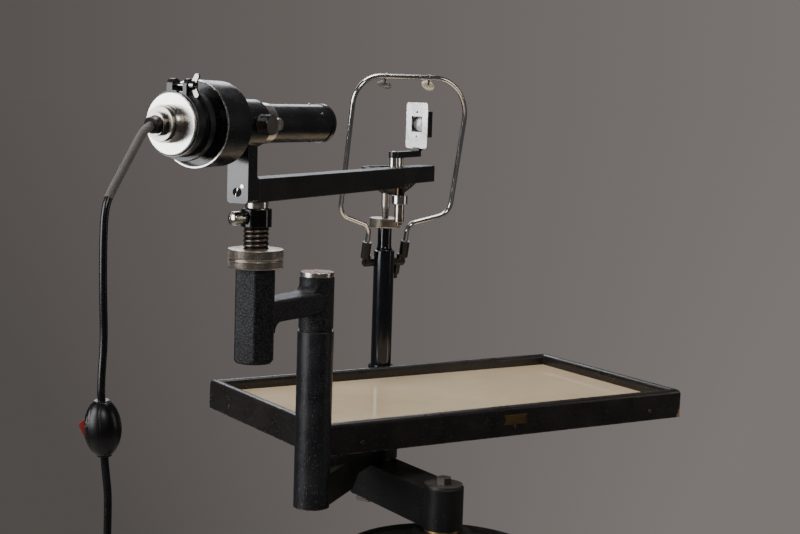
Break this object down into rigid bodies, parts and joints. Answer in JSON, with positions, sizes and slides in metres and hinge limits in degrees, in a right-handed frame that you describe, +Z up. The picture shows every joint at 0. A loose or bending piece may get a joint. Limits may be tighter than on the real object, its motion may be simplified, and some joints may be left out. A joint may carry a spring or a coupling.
{
  "type": "optometry examination table",
  "caption": "Instrument tray on a swinging arm and floor column, with a slit-lamp arm on a post, a swing lens, a cord with a switch, and a chin and head rest.",
  "frame": {"origin": "on the floor, under the column's axis", "axes": "+Z is up, +X along the tray's long side to the examiner's right, +Y from the examiner to the patient"},
  "size_m": [0.9479, 0.6402, 1.1953],
  "materials": {
    "enamel": "gloss black enamel",
    "satin_black": "satin black paint, rubbed at the edges",
    "olive_black": "satin olive-black paint",
    "crinkle": "black crinkle paint with fine grey specks",
    "upright_paint": "semi-gloss grey-black paint",
    "steel": "worn turned steel",
    "nickel": "worn warm nickel plate",
    "knurled": "brownish nickel with a diamond knurl",
    "knob": "dark taupe paint with a knurled edge",
    "wire": "polished nickel wire",
    "brass": "dull brass",
    "plate_metal": "matte silver with specks of wear",
    "rail": "satin brown-black with worn upper edge",
    "board": "stained wood",
    "panel": "glossy cream laminate",
    "chin_cup": "black moulded plastic",
    "pad": "aged ivory and tan pads",
    "glass": "clear glass",
    "bulb_glass": "frosted bulb glass",
    "braid": "grey-brown braided sleeve",
    "cord": "glossy black cord",
    "switch": "dark moulded plastic",
    "rocker": "red plastic"
  },
  "bodies": {
    "stand": {"floor_base": "enamel", "column_tube": "satin_black"},
    "height_wheel": {"height_wheel": "satin_black"},
    "column": {"column_screw": "steel", "thrust_washer": "brass", "hub_bolt": "steel"},
    "lower_arm": {"lower_arm": "satin_black"},
    "table": {"table_bracket": "olive_black", "pivot_pin": "steel", "table_screws": "steel", "lamp_post": "satin_black", "rail_front": "rail", "rail_back": "rail", "rail_left": "rail", "rail_right": "rail", "tray_board": "board", "tray_panel": "panel", "label_plate": "brass", "head_post": "enamel", "head_yoke": "satin_black"},
    "knuckle": {"knuckle_arm": "crinkle", "knuckle_cap": "nickel", "stop_ring": "knurled"},
    "adjusting_ring": {"adjusting_ring": "knurled"},
    "spindle": {"lift_spindle": "steel", "clamp_collar": "satin_black"},
    "thumb_screw": {"thumb_screw": "nickel"},
    "lamp_arm": {"swivel_pin": "nickel", "lamp_bar": "satin_black", "lamp_upright": "upright_paint", "lamp_screws": "nickel", "lamp_hood": "satin_black", "slit_band": "nickel", "slit_tube": "satin_black", "tube_lenses": "glass", "lamp_carrier": "satin_black", "plunger_bush": "brass", "lens_nut": "nickel"},
    "slit_knob": {"slit_knob": "knob"},
    "lamp_insert": {"lamp_cap": "nickel", "lamp_socket": "nickel", "bulb": "bulb_glass", "cord_gland": "satin_black", "cord_upper": "braid", "switch_body": "switch", "cord_lower": "cord", "cord_coil": "cord", "plug": "switch"},
    "wing_screw": {"wing_screw": "nickel"},
    "switch_rocker": {"switch_rocker": "rocker"},
    "lens_plunger": {"lens_plunger": "steel"},
    "lens_arm": {"lens_crank": "satin_black", "lens_plate": "plate_metal", "lens_holder": "satin_black", "lens": "glass"},
    "chin_ring": {"chin_ring": "knurled"},
    "chin_rest": {"chin_rest": "chin_cup"},
    "head_rest": {"head_elbows": "satin_black", "head_frame": "wire", "brow_pads": "pad"}
  },
  "joints": [
    {"name": "wheel_turn", "type": "hinge", "parent": "stand", "child": "height_wheel", "pos_m": [0, 0, 0.634], "axis": [0, 0, 1], "range_deg": [0, 2160]},
    {"name": "column_lift", "type": "slide", "parent": "stand", "child": "column", "axis": [0, 0, 1], "range_m": [0, 0.12]},
    {"name": "arm_swing", "type": "hinge", "parent": "column", "child": "lower_arm", "pos_m": [0, 0, 0.7], "axis": [0, 0, 1], "continuous": true},
    {"name": "table_swing", "type": "hinge", "parent": "lower_arm", "child": "table", "pos_m": [0, 0.17, 0.72], "axis": [0, 0, 1], "range_deg": [-180, 20]},
    {"name": "knuckle_swing", "type": "hinge", "parent": "table", "child": "knuckle", "pos_m": [-0.155, 0.04, 0.93], "axis": [0, 0, 1], "range_deg": [-40, 75]},
    {"name": "ring_turn", "type": "hinge", "parent": "knuckle", "child": "adjusting_ring", "pos_m": [-0.25997, -0.01499, 0.996], "axis": [0, 0, 1], "range_deg": [-1584, 2160]},
    {"name": "spindle_lift", "type": "slide", "parent": "knuckle", "child": "spindle", "axis": [0, 0, 1], "range_m": [-0.022, 0.03]},
    {"name": "thumb_turn", "type": "hinge", "parent": "spindle", "child": "thumb_screw", "pos_m": [-0.25997, -0.01499, 1.0348], "axis": [-0.9763, -0.2164, 0], "range_deg": [-20, 360]},
    {"name": "bar_swivel", "type": "hinge", "parent": "spindle", "child": "lamp_arm", "pos_m": [-0.25997, -0.01499, 1.04], "axis": [0, 0, 1], "range_deg": [-75, 75]},
    {"name": "knob_turn", "type": "hinge", "parent": "lamp_arm", "child": "slit_knob", "pos_m": [-0.28748, -0.03245, 1.134], "axis": [0.454, -0.891, 0], "range_deg": [-150, 150]},
    {"name": "lamp_slide", "type": "slide", "parent": "lamp_arm", "child": "lamp_insert", "axis": [0.891, 0.454, 0], "range_m": [-0.008, 0.004]},
    {"name": "wing_turn", "type": "hinge", "parent": "lamp_arm", "child": "wing_screw", "pos_m": [-0.3806, -0.0799, 1.1715], "axis": [0.454, -0.891, 0], "range_deg": [0, 360]},
    {"name": "rocker_press", "type": "hinge", "parent": "lamp_insert", "child": "switch_rocker", "pos_m": [-0.48059, -0.11892, 0.84994], "axis": [-0.527, -0.8466, -0.0747], "range_deg": [-6, 6]},
    {"name": "plunger_pull", "type": "slide", "parent": "lamp_arm", "child": "lens_plunger", "axis": [0, 0, 1], "range_m": [-0.008, 0], "stiffness_N_per_m": 500, "springref_m": 0.004},
    {"name": "lens_swing", "type": "hinge", "parent": "lamp_arm", "child": "lens_arm", "pos_m": [0.01716, 0.16326, 1.052], "axis": [0, 0, 1], "range_deg": [-110, 110]},
    {"name": "chin_turn", "type": "hinge", "parent": "table", "child": "chin_ring", "pos_m": [0.147, 0.3932, 0.985], "axis": [0, 0, 1], "range_deg": [-840, 1500]},
    {"name": "chin_lift", "type": "slide", "parent": "table", "child": "chin_rest", "axis": [0, 0, 1], "range_m": [-0.014, 0.025]},
    {"name": "head_tilt", "type": "hinge", "parent": "table", "child": "head_rest", "pos_m": [0.147, 0.3979, 0.928], "axis": [1, 0, 0], "range_deg": [-10, 15]}
  ],
  "couplings": [
    {"joint": "column_lift", "follows": "wheel_turn", "m_per_rad": 0.003183},
    {"joint": "spindle_lift", "follows": "ring_turn", "m_per_rad": 0.0007957},
    {"joint": "chin_lift", "follows": "chin_turn", "m_per_rad": 0.0009549}
  ]
}
